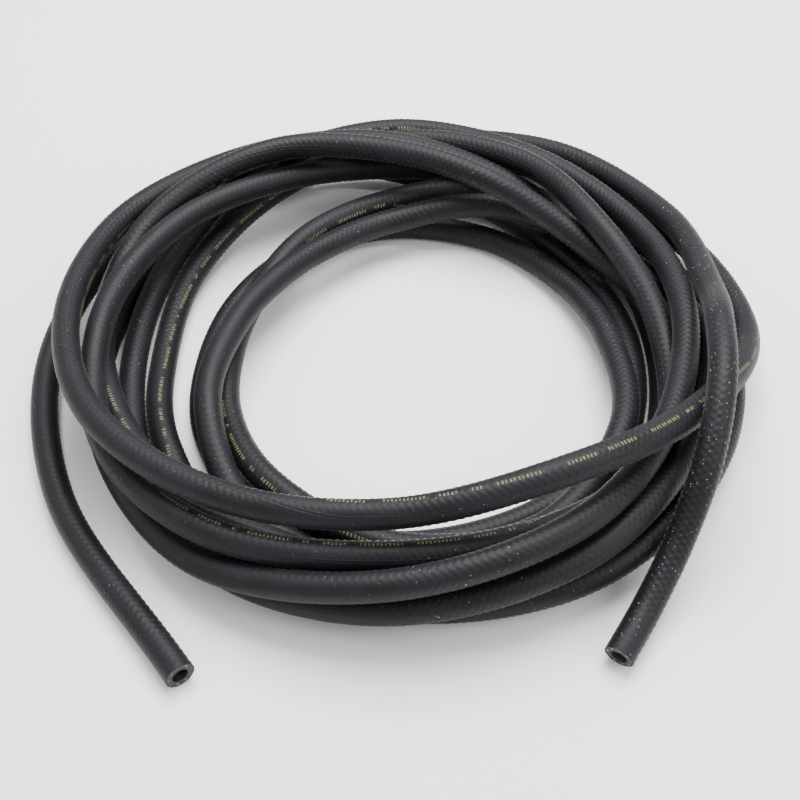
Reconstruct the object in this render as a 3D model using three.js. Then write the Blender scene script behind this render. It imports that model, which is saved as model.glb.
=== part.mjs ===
import * as THREE from "three";

// A quarter inch rubber fuel hose, plain at both ends, lying on the floor in a loose coil.
// Millimetres, +Z up. The origin is on the floor, under the middle of all that the hose covers.

// The hose
const boreDiameter = 6.35;
const outsideDiameter = 12;

// How finely the round section and the long route are faceted
const outsideSides = 10;
const boreSides = 8;
const stepLength = 25.4;

// The middle of the coil's rings, which the two tails pull away from the origin
const ringMiddle = new THREE.Vector2(-1.6, 0.5);
// Takes up what the smooth route sags below its lowest stations
const floorLift = 0.15;

// The route's stations. A height is the gap under the hose, and an angle is in degrees round the rings,
// from +X towards +Y. The right hand tail comes down from the top of the coil: [angle, radius, height].
const rightTail = [
  [-62, 177, 0],
  [-55, 167, 4],
  [-47, 159, 16],
  [-38, 152, 38],
  [-27, 143, 52],
  [-14, 136, 52],
];

// One row a turn, starting at +X, with [radius, height] every 30 degrees
const stationAngle = 30;
const turns = [
  [[136, 40], [150, 21], [162, 11], [161, 1], [143, 0], [132, 1], [131, 0], [134, 5], [143, 13], [144, 28],
    [139, 34], [128, 29]],
  [[126, 30], [132, 22], [138, 22], [141, 23], [132, 19], [121, 8], [116, 2], [122, 0], [136, 2], [144, 12],
    [145, 21], [139, 22]],
  [[138, 14], [117, 13], [98, 18], [80, 13], [66, 15], [62, 18], [69, 20], [89, 18], [112, 9], [122, 1],
    [137, 0], [138, 2]],
  [[125, 12], [105, 20], [94, 35], [101, 39], [117, 39], [129, 28], [129, 15], [124, 13], [124, 16], [127, 13],
    [130, 11], [124, 1]],
  [[120, 0], [124, 2], [115, 20], [114, 34], [128, 31], [142, 27], [140, 32], [137, 37], [128, 38], [122, 41],
    [127, 51], [138, 39]],
  [[156, 15], [159, 4], [139, 7], [116, 18], [110, 26], [115, 30], [125, 28], [135, 22], [137, 26], [130, 26],
    [131, 24], [129, 13]],
  [[116, 22], [109, 32], [124, 29], [128, 25], [119, 13], [109, 4], [103, 0], [110, 4], [123, 0], [135, 1],
    [147, 8], [149, 9]],
  [[149, 4], [142, 2], [126, 11], [95, 14], [80, 13], [71, 9], [71, 8], [81, 7], [97, 12], [114, 11], [118, 7],
    [110, 14]],
  [[96, 10], [93, 3], [94, 0], [91, 0], [85, 0], [81, 0], [82, 0], [92, 0], [103, 0], [106, 0], [107, 0],
    [110, 0]],
  [[107, 0], [107, 0], [114, 0], [135, 2], [144, 13], [149, 7], [153, 3], [158, 0]],
];

// The left hand tail lies on the floor from the last turn's end to here
const leftEnd = [3485, 181, 0];

function station(degrees, radius, height) {
  const angle = THREE.MathUtils.degToRad(degrees);
  return new THREE.Vector3(
    ringMiddle.x + radius * Math.cos(angle),
    ringMiddle.y + radius * Math.sin(angle),
    outsideDiameter / 2 + height + floorLift,
  );
}

function hoseRoute() {
  const points = rightTail.map(([angle, radius, height]) => station(angle, radius, height));
  turns.flat().forEach(([radius, height], index) => {
    points.push(station(index * stationAngle, radius, height));
  });
  points.push(station(...leftEnd));
  const route = new THREE.CatmullRomCurve3(points);
  // Fine enough for evenly long steps along the whole hose
  route.arcLengthDivisions = 20 * points.length;
  return route;
}

function roundPoints(diameter, sides) {
  return Array.from({ length: sides }, (_, index) => {
    const angle = (2 * Math.PI * index) / sides;
    return new THREE.Vector2(diameter / 2 * Math.cos(angle), diameter / 2 * Math.sin(angle));
  });
}

function hoseSection() {
  const section = new THREE.Shape(roundPoints(outsideDiameter, outsideSides));
  section.holes.push(new THREE.Path(roundPoints(boreDiameter, boreSides)));
  return section;
}

function fuelHose() {
  const route = hoseRoute();
  const geometry = new THREE.ExtrudeGeometry(hoseSection(), {
    extrudePath: route,
    steps: Math.round(route.getLength() / stepLength),
    bevelEnabled: false,
  });
  const rubber = new THREE.MeshStandardMaterial({ color: 0x26282b, roughness: 0.62, metalness: 0 });
  const hose = new THREE.Mesh(geometry, rubber);
  hose.name = "fuel_hose";
  return hose;
}

const part = new THREE.Group();
part.add(fuelHose());

export default part;
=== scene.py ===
import bisect
import math

import bpy
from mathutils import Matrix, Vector


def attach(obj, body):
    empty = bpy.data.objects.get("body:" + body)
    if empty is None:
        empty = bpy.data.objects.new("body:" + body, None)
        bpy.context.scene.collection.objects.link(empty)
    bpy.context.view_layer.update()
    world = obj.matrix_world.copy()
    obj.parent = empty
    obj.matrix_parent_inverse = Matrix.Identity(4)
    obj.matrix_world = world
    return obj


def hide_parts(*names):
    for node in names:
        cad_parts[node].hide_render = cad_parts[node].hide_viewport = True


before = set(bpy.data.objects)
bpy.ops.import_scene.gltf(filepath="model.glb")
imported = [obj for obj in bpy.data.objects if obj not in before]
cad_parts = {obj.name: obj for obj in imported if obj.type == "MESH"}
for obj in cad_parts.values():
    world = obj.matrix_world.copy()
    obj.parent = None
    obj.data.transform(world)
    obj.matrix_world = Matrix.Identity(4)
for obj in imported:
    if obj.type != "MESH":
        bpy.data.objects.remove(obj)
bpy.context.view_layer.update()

mm = 0.001

# Camera at the photograph's height and tilt
view = {
    "place": (1.4, -396.5, 402.2),     # mm
    "tiltDown": 47,                    # degrees below level
    "lens": 55.8,                      # mm, on a 36 mm sensor
    "sensor": 36,
}

# Quarter inch fuel hose: one length, bare at both ends, lying in a loose coil.
# Angles are degrees round the rings from +X, radii and heights are mm, heights are the gap under the hose.
hose = {
    "outside": 12,
    "bore": 6.35,
    "length": 7680,
    "sides": 16,                       # twice the braid's diamonds round the hose
    "braidPitch": 3,                   # along the hose, from one diamond to the next
    "braidRise": 0.13,                 # how far the braid shows through the cover, each way
    "plainEnd": 4,                     # the braid shows less and less over this length up to a cut
    "boreStep": 20,
    "cutEdge": 0.12,                   # worn edge of the cut ends
    "crispOver": 40,                   # edges sharper than this stay crisp, degrees
    "ringMiddle": (-1.6, 0.5),
    "floorLift": 0.15,                 # takes up what the smooth route sags below its lowest stations
    "stationAngle": 30,
    "rightTail": [
        [-62, 177, 0], [-55, 167, 4], [-47, 159, 16], [-38, 152, 38], [-27, 143, 52], [-14, 136, 52],
    ],
    "turns": [
        [[136, 40], [150, 21], [162, 11], [161, 1], [143, 0], [132, 1], [131, 0], [134, 5], [143, 13],
         [144, 28], [139, 34], [128, 29]],
        [[126, 30], [132, 22], [138, 22], [141, 23], [132, 19], [121, 8], [116, 2], [122, 0], [136, 2],
         [144, 12], [145, 21], [139, 22]],
        [[138, 14], [117, 13], [98, 18], [80, 13], [66, 15], [62, 18], [69, 20], [89, 18], [112, 9], [122, 1],
         [137, 0], [138, 2]],
        [[125, 12], [105, 20], [94, 35], [101, 39], [117, 39], [129, 28], [129, 15], [124, 13], [124, 16],
         [127, 13], [130, 11], [124, 1]],
        [[120, 0], [124, 2], [115, 20], [114, 34], [128, 31], [142, 27], [140, 32], [137, 37], [128, 38],
         [122, 41], [127, 51], [138, 39]],
        [[156, 15], [159, 4], [139, 7], [116, 18], [110, 26], [115, 30], [125, 28], [135, 22], [137, 26],
         [130, 26], [131, 24], [129, 13]],
        [[116, 22], [109, 32], [124, 29], [128, 25], [119, 13], [109, 4], [103, 0], [110, 4], [123, 0],
         [135, 1], [147, 8], [149, 9]],
        [[149, 4], [142, 2], [126, 11], [95, 14], [80, 13], [71, 9], [71, 8], [81, 7], [97, 12], [114, 11],
         [118, 7], [110, 14]],
        [[96, 10], [93, 3], [94, 0], [91, 0], [85, 0], [81, 0], [82, 0], [92, 0], [103, 0], [106, 0],
         [107, 0], [110, 0]],
        [[107, 0], [107, 0], [114, 0], [135, 2], [144, 13], [149, 7], [153, 3], [158, 0]],
    ],
    "leftEnd": [3485, 181, 0],
    # How the hose is twisted: [angle round the rings, where its printed line lies, degrees from the top
    # towards the outside of the ring]
    "printedLine": [
        [-62, 180], [400, 180], [440, 300], [448, 318], [462, 325], [480, 290], [520, 200],
        [1100, 200], [1180, 215], [1225, 262], [1250, 350], [1285, 360], [1340, 270], [1400, 180],
        [1500, 240], [1560, 268], [1680, 276], [1705, 340], [1740, 372], [1770, 369], [1793, 405],
        [1808, 450], [1830, 500], [1860, 560], [1990, 570], [2010, 600], [2030, 703], [2088, 707],
        [2112, 600], [2220, 575], [2277, 658], [2310, 675], [2340, 696], [2365, 714], [2400, 785],
        [2425, 830], [2438, 842], [2462, 842], [2485, 870], [2560, 950], [2600, 950], [2617, 1020],
        [2642, 1020], [2680, 1050], [2705, 1084], [2758, 1116], [2782, 1120], [2850, 1200],
        [2900, 1260], [3490, 1260],
    ],
}


def toLinear(hexTone):
    channels = [int(hexTone[k:k + 2], 16) / 255 for k in (1, 3, 5)]
    return [c / 12.92 if c <= 0.04045 else ((c + 0.055) / 1.055) ** 2.4 for c in channels] + [1]


def addNode(tree, kind, settings=None, inputs=None):
    # A socket goes by its name, or by its number: a Map Range takes a value in 0, its range in 1 and 2 and
    # what that becomes in 3 and 4, and a Mix takes the factor in 0 and two colours in 6 and 7
    node = tree.nodes.new(kind)
    for name, value in (settings or {}).items():
        setattr(node, name, value)
    for socket, value in (inputs or {}).items():
        if isinstance(value, bpy.types.NodeSocket):
            tree.links.new(value, node.inputs[socket])
        else:
            node.inputs[socket].default_value = value
    return node


def placeCamera():
    bpy.ops.object.select_all(action="DESELECT")
    bpy.ops.object.camera_add(
        location=[c * mm for c in view["place"]],
        rotation=(math.radians(90 - view["tiltDown"]), 0, 0))
    camera = bpy.context.object
    camera.data.lens = view["lens"]
    camera.data.sensor_width = view["sensor"]
    camera.data.clip_start = 0.01
    bpy.context.scene.camera = camera


def hoseStations():
    middleX, middleY = hose["ringMiddle"]
    rows = list(hose["rightTail"])
    flat = [pair for turn in hose["turns"] for pair in turn]
    rows += [[k * hose["stationAngle"], radius, height] for k, (radius, height) in enumerate(flat)]
    rows.append(hose["leftEnd"])
    stations = []
    for degrees, radius, height in rows:
        angle = math.radians(degrees)
        stations.append((degrees, mm * Vector((
            middleX + radius * math.cos(angle),
            middleY + radius * math.sin(angle),
            hose["outside"] / 2 + height + hose["floorLift"]))))
    return stations


def smoothRoute(stations, perSpan=24):
    # Centripetal curve through the stations: evenly bent, without loops where they lie close together
    angles = [angle for angle, point in stations]
    points = [point for angle, point in stations]
    ends = [2 * points[0] - points[1]] + points + [2 * points[-1] - points[-2]]
    route = []
    for k in range(len(points) - 1):
        p0, p1, p2, p3 = ends[k:k + 4]
        d0, d1, d2 = [math.sqrt((b - a).length) for a, b in ((p0, p1), (p1, p2), (p2, p3))]
        leave = ((p1 - p0) / d0 - (p2 - p0) / (d0 + d1) + (p2 - p1) / d1) * d1
        arrive = ((p2 - p1) / d1 - (p3 - p1) / (d1 + d2) + (p3 - p2) / d2) * d1
        for step in range(perSpan):
            t = step / perSpan
            point = (p1 + leave * t + (3 * (p2 - p1) - 2 * leave - arrive) * t ** 2
                     + (2 * (p1 - p2) + leave + arrive) * t ** 3)
            route.append((angles[k] + (angles[k + 1] - angles[k]) * t, point))
    route.append((angles[-1], points[-1]))
    return route


class Along:
    # Finds the point, direction and ring angle at any distance along the hose
    def __init__(self, route):
        self.route = route
        self.distances = [0]
        for (_, a), (_, b) in zip(route, route[1:]):
            self.distances.append(self.distances[-1] + (b - a).length)
        self.length = self.distances[-1]

    def at(self, distance):
        k = min(max(bisect.bisect_right(self.distances, distance) - 1, 0), len(self.route) - 2)
        share = (distance - self.distances[k]) / (self.distances[k + 1] - self.distances[k])
        (angleA, a), (angleB, b) = self.route[k], self.route[k + 1]
        return a.lerp(b, share), angleA + (angleB - angleA) * share

    def direction(self, distance):
        reach = 1 * mm
        low, high = max(distance - reach, 0), min(distance + reach, self.length)
        return (self.at(high)[0] - self.at(low)[0]).normalized()


def printedLineAt(ringAngle):
    rows = hose["printedLine"]
    k = min(max(bisect.bisect_right([row[0] for row in rows], ringAngle) - 1, 0), len(rows) - 2)
    (a, low), (b, high) = rows[k], rows[k + 1]
    share = min(max((ringAngle - a) / (b - a), 0), 1)
    share = share * share * (3 - 2 * share)
    return math.radians(low + (high - low) * share)


def ringOfPoints(along, distance, radii):
    centre, ringAngle = along.at(distance)
    ahead = along.direction(distance)
    outward = ahead.cross(Vector((0, 0, 1))).normalized()
    top = outward.cross(ahead)
    turned = printedLineAt(ringAngle) + math.pi        # the map's own seam lies opposite the printed line
    sides = hose["sides"]
    points = []
    for j in range(sides):
        angle = turned + 2 * math.pi * j / sides
        points.append(centre + radii[j] * (math.cos(angle) * top + math.sin(angle) * outward))
    return points


def makeHose(along):
    sides = hose["sides"]
    outer = hose["outside"] / 2 * mm
    bore = hose["bore"] / 2 * mm
    rise = hose["braidRise"] * mm
    plain = hose["plainEnd"] * mm
    edge = hose["cutEdge"] * mm
    girth = 2 * math.pi * outer

    # Outside: a ring at each half pitch of the braid, alternately raised, and a worn edge at each end
    count = round(along.length / (hose["braidPitch"] / 2 * mm))
    outside = [(0, [outer - edge] * sides)]
    for k in range(count + 1):
        distance = min(max(along.length * k / count, edge), along.length - edge)
        proud = rise * min(distance / plain, (along.length - distance) / plain, 1)
        outside.append((distance, [outer - proud + proud * (-1) ** (k + j) for j in range(sides)]))
    outside.append((along.length, [outer - edge] * sides))

    # Bore: plainer, from the far end back to the near one, so that the wall closes on itself
    count = round(along.length / (hose["boreStep"] * mm))
    inside = [(along.length, [bore + edge / 2] * sides)]
    for k in range(count, -1, -1):
        distance = min(max(along.length * k / count, edge), along.length - edge)
        inside.append((distance, [bore] * sides))
    inside.append((0, [bore + edge / 2] * sides))

    rings = outside + inside
    points = []
    for distance, radii in rings:
        points += ringOfPoints(along, distance, radii)
    faces = []
    finish = []                                        # 0 cover, 1 cut end, 2 bore
    maps = []                                          # metres round the hose and along it
    for k in range(len(rings)):
        after = (k + 1) % len(rings)
        cut = k in (len(outside) - 1, len(rings) - 1)
        kind = 1 if cut else 0 if k < len(outside) else 2
        for j in range(sides):
            beside = (j + 1) % sides
            faces.append((k * sides + j, after * sides + j, after * sides + beside, k * sides + beside))
            finish.append(kind)
            corners = [(k, j), (after, j), (after, j + 1), (k, j + 1)]
            if cut:                                    # seen end on, measured from the middle of the bore
                maps += [(rings[r][1][0] * math.cos(2 * math.pi * s / sides),
                          rings[r][1][0] * math.sin(2 * math.pi * s / sides)) for r, s in corners]
            else:
                maps += [(girth * s / sides, rings[r][0]) for r, s in corners]

    mesh = bpy.data.meshes.new("fuelHose")
    mesh.from_pydata(points, [], faces)
    mesh.polygons.foreach_set("material_index", finish)
    layer = mesh.uv_layers.new(name="alongHose")
    layer.data.foreach_set("uv", [c for pair in maps for c in pair])
    piece = bpy.data.objects.new("fuelHose", mesh)
    bpy.context.collection.objects.link(piece)
    bpy.ops.object.select_all(action="DESELECT")
    piece.select_set(True)
    bpy.context.view_layer.objects.active = piece
    bpy.ops.object.shade_smooth_by_angle(angle=math.radians(hose["crispOver"]))
    return piece


# Lengths in mm
cover = {
    "darkTone": "#0e0e11",
    "lightTone": "#1a1a1f",
    "cloudSize": 30,                   # bloom and handling marks
    "grainSize": 0.8,
    "pressedPatch": 90,                # stretches where the braid shows more or less
    "seams": (7.0, 8.3),               # round the hose from the printed line
    "seamHalfWidths": (0.15, 0.32),    # groove's floor, and its edge
    "dustTone": "#c9c9c4",
    # Each size of speck: the cell it has to itself, its radius as a share of that, and the share of cells
    # left clean, on the tail and elsewhere
    "dust": ((1.2, 0.14, 0.59, 0.89), (3.1, 0.09, 0.58, 0.88)),
    "dustPatch": 48,
    "speckledTail": (100, 300),        # more specks up to here along the hose, and fewer and fewer to here
    "brightTail": (200, 600),          # and they are brightest up to here, and fade out to here
    "printTone": "#7d784f",
    "printHeight": 1.5,
    "barPitch": 1.5,
    "barShare": 0.5,
    "runs": ((21, 0.79), (34.5, 0.87)),    # from one run of bars to the next, and the share it fills
}


def nitrileCover():
    # Extruded nitrile rubber cover, vulcanised over a textile braid: matt black with a soft sheen,
    # the braid's diamonds faintly proud, with dust, pale bloom and a printed line of plain bars
    material = bpy.data.materials.new("nitrileCover")
    material.use_nodes = True
    tree = material.node_tree
    tree.nodes.clear()
    girth = math.pi * hose["outside"] * mm
    place = addNode(tree, "ShaderNodeTexCoord")
    laid = addNode(tree, "ShaderNodeUVMap", {"uv_map": "alongHose"})
    split = addNode(tree, "ShaderNodeSeparateXYZ", inputs={0: laid.outputs["UV"]})

    # Braid: soft diamonds, one every braidPitch along and one every two sides round, fainter in places
    roundWave = addNode(tree, "ShaderNodeMath", {"operation": "MULTIPLY"}, {
        0: split.outputs["X"], 1: math.pi * hose["sides"] / girth})
    alongWave = addNode(tree, "ShaderNodeMath", {"operation": "MULTIPLY"}, {
        0: split.outputs["Y"], 1: 2 * math.pi / (hose["braidPitch"] * mm)})
    roundWave = addNode(tree, "ShaderNodeMath", {"operation": "COSINE"}, {0: roundWave.outputs[0]})
    alongWave = addNode(tree, "ShaderNodeMath", {"operation": "COSINE"}, {0: alongWave.outputs[0]})
    diamonds = addNode(tree, "ShaderNodeMath", {"operation": "MULTIPLY"}, {
        0: roundWave.outputs[0], 1: alongWave.outputs[0]})
    pressed = addNode(tree, "ShaderNodeTexNoise", inputs={
        "Vector": place.outputs["Object"], "Scale": 1 / (cover["pressedPatch"] * mm), "Detail": 1})
    pressed = addNode(tree, "ShaderNodeMapRange", inputs={
        0: pressed.outputs["Fac"], 1: 0.4, 2: 0.6, 3: 0.45, 4: 1})
    braid = addNode(tree, "ShaderNodeMath", {"operation": "MULTIPLY"}, {
        0: diamonds.outputs[0], 1: pressed.outputs[0]})

    # Bloom and handling marks in broad clouds, and fine grain
    clouds = addNode(tree, "ShaderNodeTexNoise", inputs={
        "Vector": place.outputs["Object"], "Scale": 1 / (cover["cloudSize"] * mm),
        "Detail": 5, "Roughness": 0.6})
    grain = addNode(tree, "ShaderNodeTexNoise", inputs={
        "Vector": place.outputs["Object"], "Scale": 1 / (cover["grainSize"] * mm),
        "Detail": 3, "Roughness": 0.7})
    tone = addNode(tree, "ShaderNodeValToRGB", inputs={0: clouds.outputs["Fac"]})
    tone.color_ramp.elements[0].position = 0.3
    tone.color_ramp.elements[0].color = toLinear(cover["darkTone"])
    tone.color_ramp.elements[1].position = 0.75
    tone.color_ramp.elements[1].color = toLinear(cover["lightTone"])

    # Two fine moulding seams side by side, a fifth of the way round from the printed line
    fromLine = addNode(tree, "ShaderNodeMath", {"operation": "SUBTRACT"}, {
        0: split.outputs["X"], 1: girth / 2})
    low, high = cover["seamHalfWidths"]
    seams = []
    for offset in cover["seams"]:
        off = addNode(tree, "ShaderNodeMath", {"operation": "SUBTRACT"}, {
            0: fromLine.outputs[0], 1: offset * mm})
        off = addNode(tree, "ShaderNodeMath", {"operation": "ABSOLUTE"}, {0: off.outputs[0]})
        seams.append(addNode(tree, "ShaderNodeMapRange", inputs={
            0: off.outputs[0], 1: low * mm, 2: high * mm, 3: 0, 4: 1}))
    seam = addNode(tree, "ShaderNodeMath", {"operation": "MULTIPLY"}, {
        0: seams[0].outputs[0], 1: seams[1].outputs[0]})

    # Dust: fine specks and some larger flecks of chalk, in patches and along the right hand tail
    dusts = []
    low, high = cover["speckledTail"]
    for cell, size, cleanTail, cleanElse in cover["dust"]:
        cells = addNode(tree, "ShaderNodeTexVoronoi", {"feature": "F1"}, {
            "Vector": place.outputs["Object"], "Scale": 1 / (cell * mm), "Randomness": 1})
        speck = addNode(tree, "ShaderNodeMapRange", inputs={
            0: cells.outputs["Distance"], 1: size, 2: size / 2, 3: 0, 4: 1})
        chance = addNode(tree, "ShaderNodeSeparateColor", inputs={0: cells.outputs["Color"]})
        clean = addNode(tree, "ShaderNodeMapRange", inputs={
            0: split.outputs["Y"], 1: low * mm, 2: high * mm, 3: cleanTail, 4: cleanElse})
        few = addNode(tree, "ShaderNodeMath", {"operation": "GREATER_THAN"}, {
            0: chance.outputs[0], 1: clean.outputs[0]})
        dusts.append(addNode(tree, "ShaderNodeMath", {"operation": "MULTIPLY"}, {
            0: speck.outputs[0], 1: few.outputs[0]}))
    dust = addNode(tree, "ShaderNodeMath", {"operation": "MAXIMUM"}, {
        0: dusts[0].outputs[0], 1: dusts[1].outputs[0]})
    patches = addNode(tree, "ShaderNodeTexNoise", inputs={
        "Vector": place.outputs["Object"], "Scale": 1 / (cover["dustPatch"] * mm), "Detail": 2})
    patches = addNode(tree, "ShaderNodeMapRange", inputs={
        0: patches.outputs["Fac"], 1: 0.5, 2: 0.66, 3: 0.12, 4: 0.9})
    low, high = cover["brightTail"]
    nearEnd = addNode(tree, "ShaderNodeMapRange", inputs={
        0: split.outputs["Y"], 1: low * mm, 2: high * mm, 3: 1, 4: 0.2})
    where = addNode(tree, "ShaderNodeMath", {"operation": "MAXIMUM"}, {
        0: patches.outputs[0], 1: nearEnd.outputs[0]})
    dust = addNode(tree, "ShaderNodeMath", {"operation": "MULTIPLY"}, {
        0: dust.outputs[0], 1: where.outputs[0]})
    dusty = addNode(tree, "ShaderNodeMix", {"data_type": "RGBA"}, {
        0: dust.outputs[0], 6: tone.outputs[0], 7: toLinear(cover["dustTone"])})

    # Printed line: plain short bars, in runs with gaps, worn in places
    aside = addNode(tree, "ShaderNodeMath", {"operation": "ABSOLUTE"}, {0: fromLine.outputs[0]})
    marks = addNode(tree, "ShaderNodeMath", {"operation": "LESS_THAN"}, {
        0: aside.outputs[0], 1: cover["printHeight"] / 2 * mm})
    for pitch, filled in ((cover["barPitch"], cover["barShare"]), *cover["runs"]):
        steps = addNode(tree, "ShaderNodeMath", {"operation": "DIVIDE"}, {
            0: split.outputs["Y"], 1: pitch * mm})
        part = addNode(tree, "ShaderNodeMath", {"operation": "FRACT"}, {0: steps.outputs[0]})
        on = addNode(tree, "ShaderNodeMath", {"operation": "LESS_THAN"}, {0: part.outputs[0], 1: filled})
        marks = addNode(tree, "ShaderNodeMath", {"operation": "MULTIPLY"}, {
            0: marks.outputs[0], 1: on.outputs[0]})
    worn = addNode(tree, "ShaderNodeMapRange", inputs={
        0: grain.outputs["Fac"], 1: 0.35, 2: 0.6, 3: 0.15, 4: 0.8})
    ink = addNode(tree, "ShaderNodeMath", {"operation": "MULTIPLY"}, {
        0: marks.outputs[0], 1: worn.outputs[0]})
    printed = addNode(tree, "ShaderNodeMix", {"data_type": "RGBA"}, {
        0: ink.outputs[0], 6: dusty.outputs[2], 7: toLinear(cover["printTone"])})

    bump = addNode(tree, "ShaderNodeBump", inputs={
        "Strength": 0.7, "Distance": 0.12 * mm, "Height": braid.outputs[0]})
    bump = addNode(tree, "ShaderNodeBump", inputs={
        "Strength": 0.3, "Distance": 0.06 * mm, "Height": grain.outputs["Fac"], "Normal": bump.outputs[0]})
    bump = addNode(tree, "ShaderNodeBump", inputs={
        "Strength": 0.6, "Distance": 0.15 * mm, "Height": seam.outputs[0], "Normal": bump.outputs[0]})
    dullness = addNode(tree, "ShaderNodeMapRange", inputs={
        0: clouds.outputs["Fac"], 1: 0.3, 2: 0.7, 3: 0.48, 4: 0.6})
    surface = addNode(tree, "ShaderNodeBsdfPrincipled", inputs={
        "Base Color": printed.outputs[2], "Roughness": dullness.outputs[0], "IOR": 1.5,
        "Specular IOR Level": 0.2, "Sheen Weight": 0.06, "Sheen Roughness": 0.3, "Normal": bump.outputs[0]})
    addNode(tree, "ShaderNodeOutputMaterial", inputs={0: surface.outputs[0]})
    return material


# Lengths in mm
cutFace = {
    "wallTone": "#1c1c20",
    "yarnTone": "#b8b6ae",
    "yarnRing": 4.7,                   # radius on which the braid's yarns end
    "yarnHalfWidths": (0.1, 0.3),      # whole tone out to here, and fading out to here
    "yarns": 9,
    "grainSize": 0.5,
}


def cutRubber():
    # Knife cut across the wall: dull grey-black, with the pale ends of the braid's yarns in a ring
    material = bpy.data.materials.new("cutRubber")
    material.use_nodes = True
    tree = material.node_tree
    tree.nodes.clear()
    laid = addNode(tree, "ShaderNodeUVMap", {"uv_map": "alongHose"})
    place = addNode(tree, "ShaderNodeTexCoord")
    split = addNode(tree, "ShaderNodeSeparateXYZ", inputs={0: laid.outputs["UV"]})
    fromMiddle = addNode(tree, "ShaderNodeVectorMath", {"operation": "LENGTH"}, {0: laid.outputs["UV"]})
    offYarns = addNode(tree, "ShaderNodeMath", {"operation": "SUBTRACT"}, {
        0: fromMiddle.outputs["Value"], 1: cutFace["yarnRing"] * mm})
    offYarns = addNode(tree, "ShaderNodeMath", {"operation": "ABSOLUTE"}, {0: offYarns.outputs[0]})
    whole, faded = cutFace["yarnHalfWidths"]
    near = addNode(tree, "ShaderNodeMapRange", inputs={
        0: offYarns.outputs[0], 1: faded * mm, 2: whole * mm, 3: 0, 4: 1})
    turn = addNode(tree, "ShaderNodeMath", {"operation": "ARCTAN2"}, {
        0: split.outputs["Y"], 1: split.outputs["X"]})
    yarns = addNode(tree, "ShaderNodeMath", {"operation": "MULTIPLY"}, {
        0: turn.outputs[0], 1: cutFace["yarns"]})
    yarns = addNode(tree, "ShaderNodeMath", {"operation": "COSINE"}, {0: yarns.outputs[0]})
    spots = addNode(tree, "ShaderNodeMapRange", inputs={0: yarns.outputs[0], 1: 0.55, 2: 0.9, 3: 0, 4: 1})
    uneven = addNode(tree, "ShaderNodeTexNoise", inputs={
        "Vector": place.outputs["Object"], "Scale": 1 / (2.5 * mm)})
    uneven = addNode(tree, "ShaderNodeMapRange", inputs={
        0: uneven.outputs["Fac"], 1: 0.42, 2: 0.62, 3: 0.05, 4: 1})
    ends = addNode(tree, "ShaderNodeMath", {"operation": "MULTIPLY"}, {
        0: near.outputs[0], 1: spots.outputs[0]})
    ends = addNode(tree, "ShaderNodeMath", {"operation": "MULTIPLY"}, {
        0: ends.outputs[0], 1: uneven.outputs[0]})
    tone = addNode(tree, "ShaderNodeMix", {"data_type": "RGBA"}, {
        0: ends.outputs[0], 6: toLinear(cutFace["wallTone"]), 7: toLinear(cutFace["yarnTone"])})
    grain = addNode(tree, "ShaderNodeTexNoise", inputs={
        "Vector": place.outputs["Object"], "Scale": 1 / (cutFace["grainSize"] * mm), "Detail": 4})
    bump = addNode(tree, "ShaderNodeBump", inputs={
        "Strength": 0.6, "Distance": 0.1 * mm, "Height": grain.outputs["Fac"]})
    surface = addNode(tree, "ShaderNodeBsdfPrincipled", inputs={
        "Base Color": tone.outputs[2], "Roughness": 0.7, "IOR": 1.52, "Normal": bump.outputs[0]})
    addNode(tree, "ShaderNodeOutputMaterial", inputs={0: surface.outputs[0]})
    return material


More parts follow.
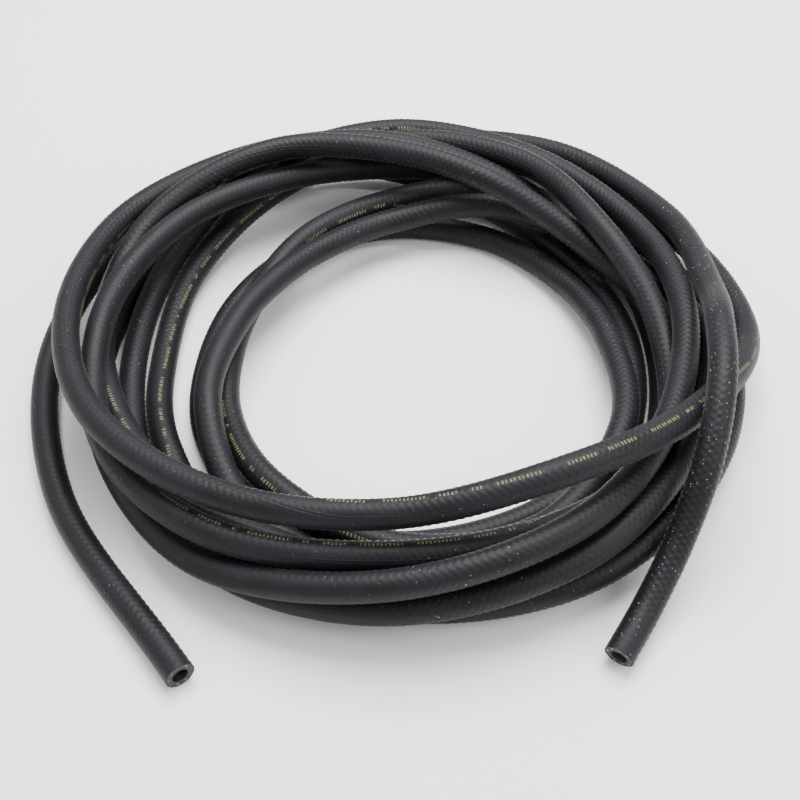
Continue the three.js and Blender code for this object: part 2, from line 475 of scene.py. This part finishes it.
def boreRubber():
    # Fuel proof inner tube: smoother and blacker than the cover
    material = bpy.data.materials.new("boreRubber")
    material.use_nodes = True
    tree = material.node_tree
    tree.nodes.clear()
    place = addNode(tree, "ShaderNodeTexCoord")
    streaks = addNode(tree, "ShaderNodeTexNoise", inputs={
        "Vector": place.outputs["Object"], "Scale": 1 / (3 * mm)})
    dullness = addNode(tree, "ShaderNodeMapRange", inputs={
        0: streaks.outputs["Fac"], 1: 0.3, 2: 0.7, 3: 0.35, 4: 0.5})
    surface = addNode(tree, "ShaderNodeBsdfPrincipled", inputs={
        "Base Color": toLinear("#151516"), "Roughness": dullness.outputs[0], "IOR": 1.52})
    addNode(tree, "ShaderNodeOutputMaterial", inputs={0: surface.outputs[0]})
    return material


# Lengths in metres
studio = {
    "floorSize": 6,
    "floorTone": "#f4f4f2",
    "skyTone": "#ffffff",
    "skyStrength": 0.95,
    # Soft lamps, each turned to the origin: name, place, size and power
    "lamps": (
        ("overhead", (0.1, 0.4, 1.1), 0.9, 38),
        ("left", (-1.0, 0.1, 0.8), 0.6, 3),
        ("right", (0.9, -0.4, 0.8), 0.6, 7),
    ),
}


def layFloor():
    bpy.ops.object.select_all(action="DESELECT")
    bpy.ops.mesh.primitive_plane_add(size=studio["floorSize"], location=(0, 0, 0))
    floor = bpy.context.object
    floor.name = "paleFloor"
    paint = bpy.data.materials.new("paleFloor")
    paint.use_nodes = True
    surface = paint.node_tree.nodes["Principled BSDF"]
    surface.inputs["Base Color"].default_value = toLinear(studio["floorTone"])
    surface.inputs["Roughness"].default_value = 0.8
    floor.data.materials.append(paint)


def lightStudio():
    world = bpy.data.worlds.new("paleStudio")
    world.use_nodes = True
    sky = world.node_tree.nodes["Background"]
    sky.inputs["Color"].default_value = toLinear(studio["skyTone"])
    sky.inputs["Strength"].default_value = studio["skyStrength"]
    bpy.context.scene.world = world
    for name, place, size, power in studio["lamps"]:
        bpy.ops.object.light_add(type="AREA", location=place)
        lamp = bpy.context.object
        lamp.name = name
        lamp.data.size = size
        lamp.data.energy = power
        lamp.rotation_euler = (-Vector(place)).to_track_quat("-Z", "Y").to_euler()


placeCamera()
print("camera placed")

along = Along(smoothRoute(hoseStations()))
print("hose route:", round(along.length / mm), "mm")
fuelHose = makeHose(along)
for finish in (nitrileCover(), cutRubber(), boreRubber()):
    fuelHose.data.materials.append(finish)
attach(fuelHose, "root")
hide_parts("fuel_hose")
pathStep = 5 * mm
pathCount = round(along.length / pathStep)
path = [along.at(along.length * k / pathCount)[0] for k in range(pathCount + 1)]
print("hose made:", len(fuelHose.data.polygons), "faces")

layFloor()
lightStudio()
print("studio lit")
